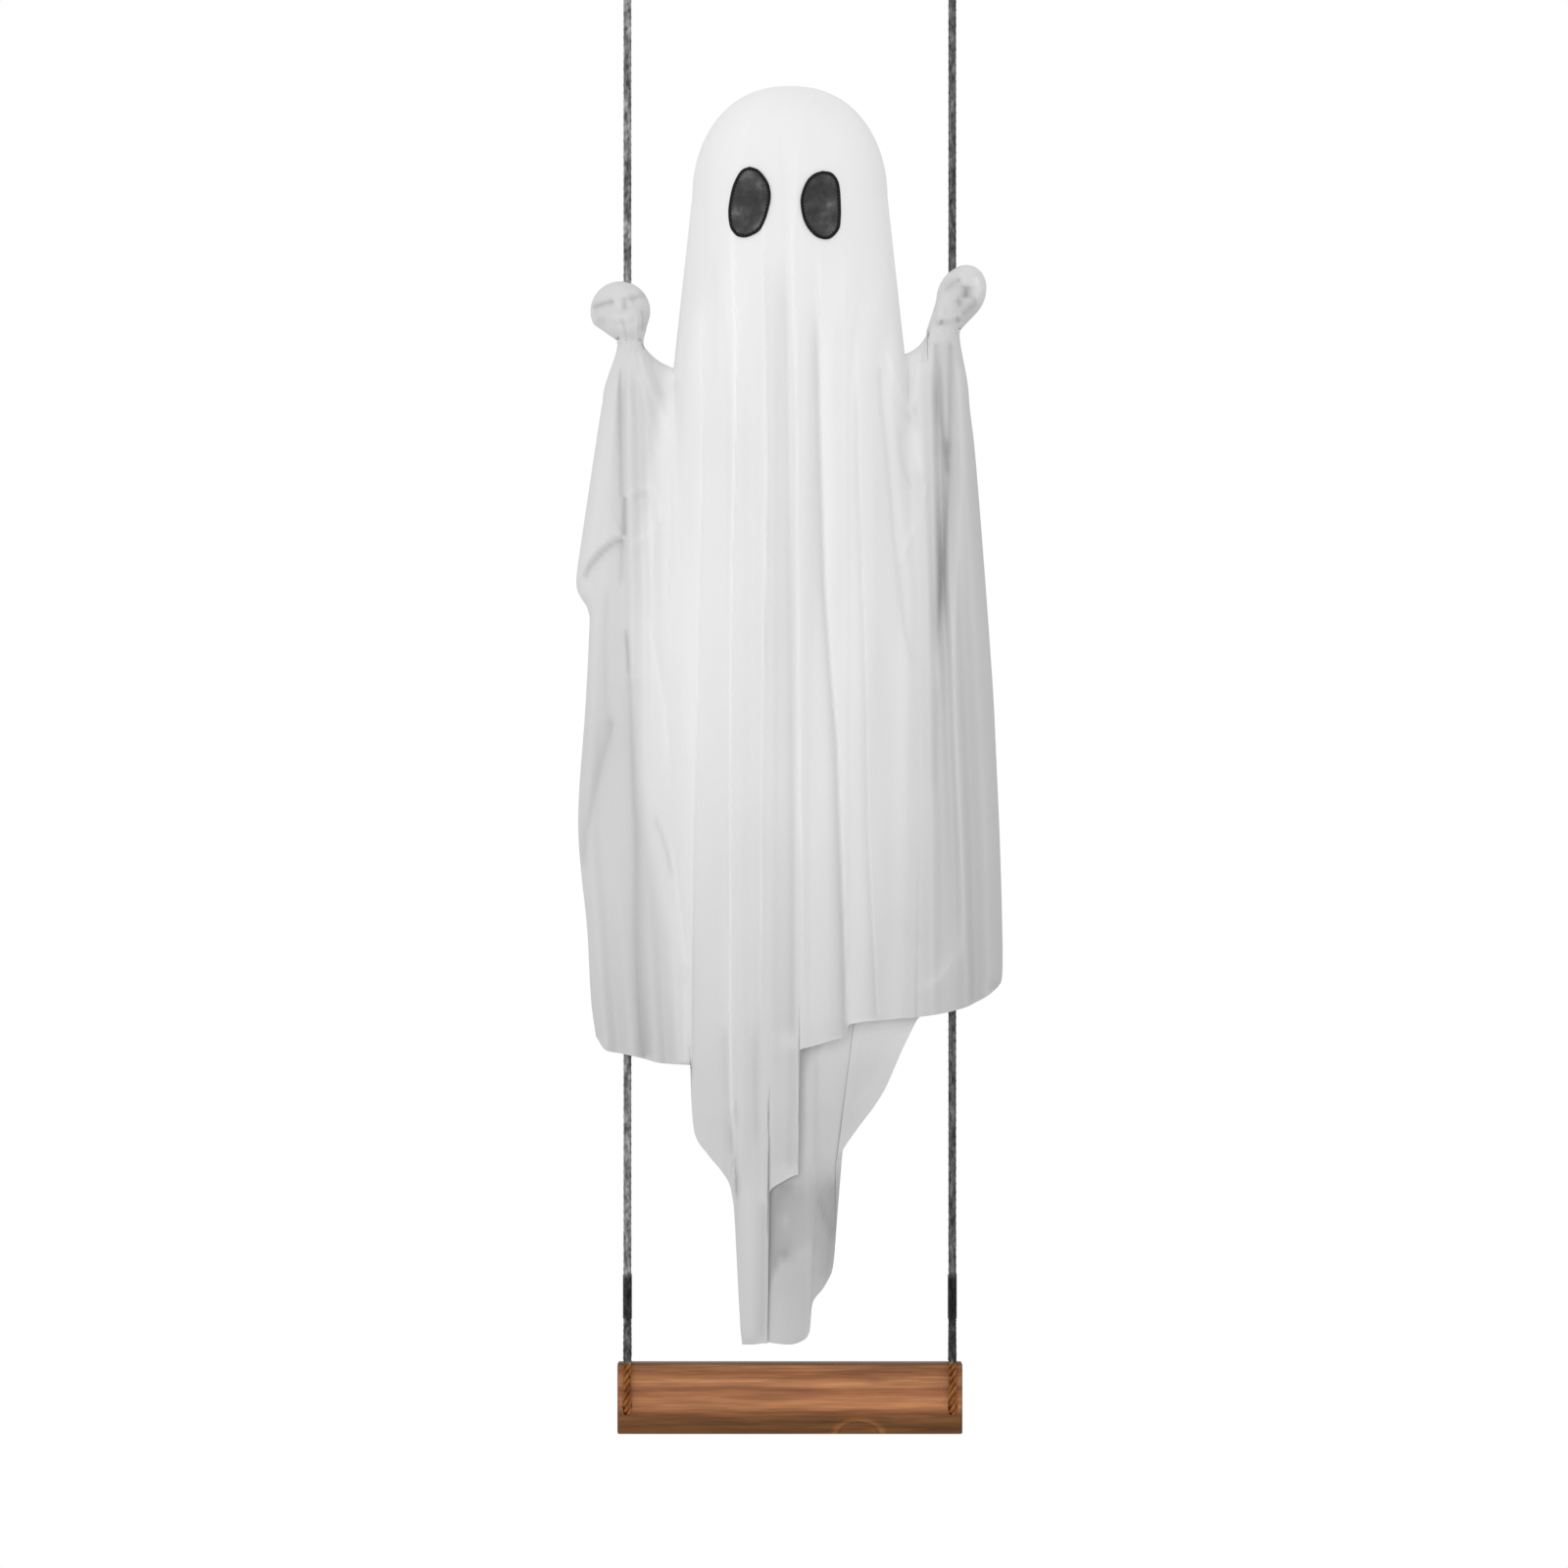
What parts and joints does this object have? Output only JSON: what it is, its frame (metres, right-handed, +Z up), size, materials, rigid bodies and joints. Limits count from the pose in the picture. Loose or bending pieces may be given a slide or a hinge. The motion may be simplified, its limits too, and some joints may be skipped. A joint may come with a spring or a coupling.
{
  "type": "hanging fabric ghost decoration",
  "caption": "White fabric ghost with felt eyes and gathered hands, hung between the ropes of a small wooden swing seat.",
  "frame": {"origin": "midway between the tops of the two hanging loops", "axes": "+Z up, front faces -Y, +X to the viewer's right"},
  "size_m": [0.3044, 0.1332, 1.1204],
  "materials": {
    "cloth": "matt, thin woven white cloth",
    "felt": "matt charcoal felt",
    "foam": "white beaded foam",
    "wire": "bright drawn wire",
    "dowel": "plain sanded dowel",
    "rope": "twisted charcoal cord",
    "twine": "dark binding twine",
    "thread": "white sewing thread",
    "timber": "warm brown stained wood, oiled"
  },
  "bodies": {
    "root": {"ghost_cloth": "cloth", "eye_patch_left": "felt", "eye_patch_right": "felt", "head_form": "foam", "neck_post": "dowel", "arm_wire": "wire", "hand_form_left": "foam", "hand_form_right": "foam", "wrist_tie_left": "thread", "wrist_tie_right": "thread", "rope_left": "rope", "rope_right": "rope", "top_knot_left": "rope", "top_knot_right": "rope", "hanging_eye_left": "rope", "hanging_eye_right": "rope", "seat_whipping_left": "twine", "seat_whipping_right": "twine", "seat_board": "timber"}
  },
  "joints": []
}
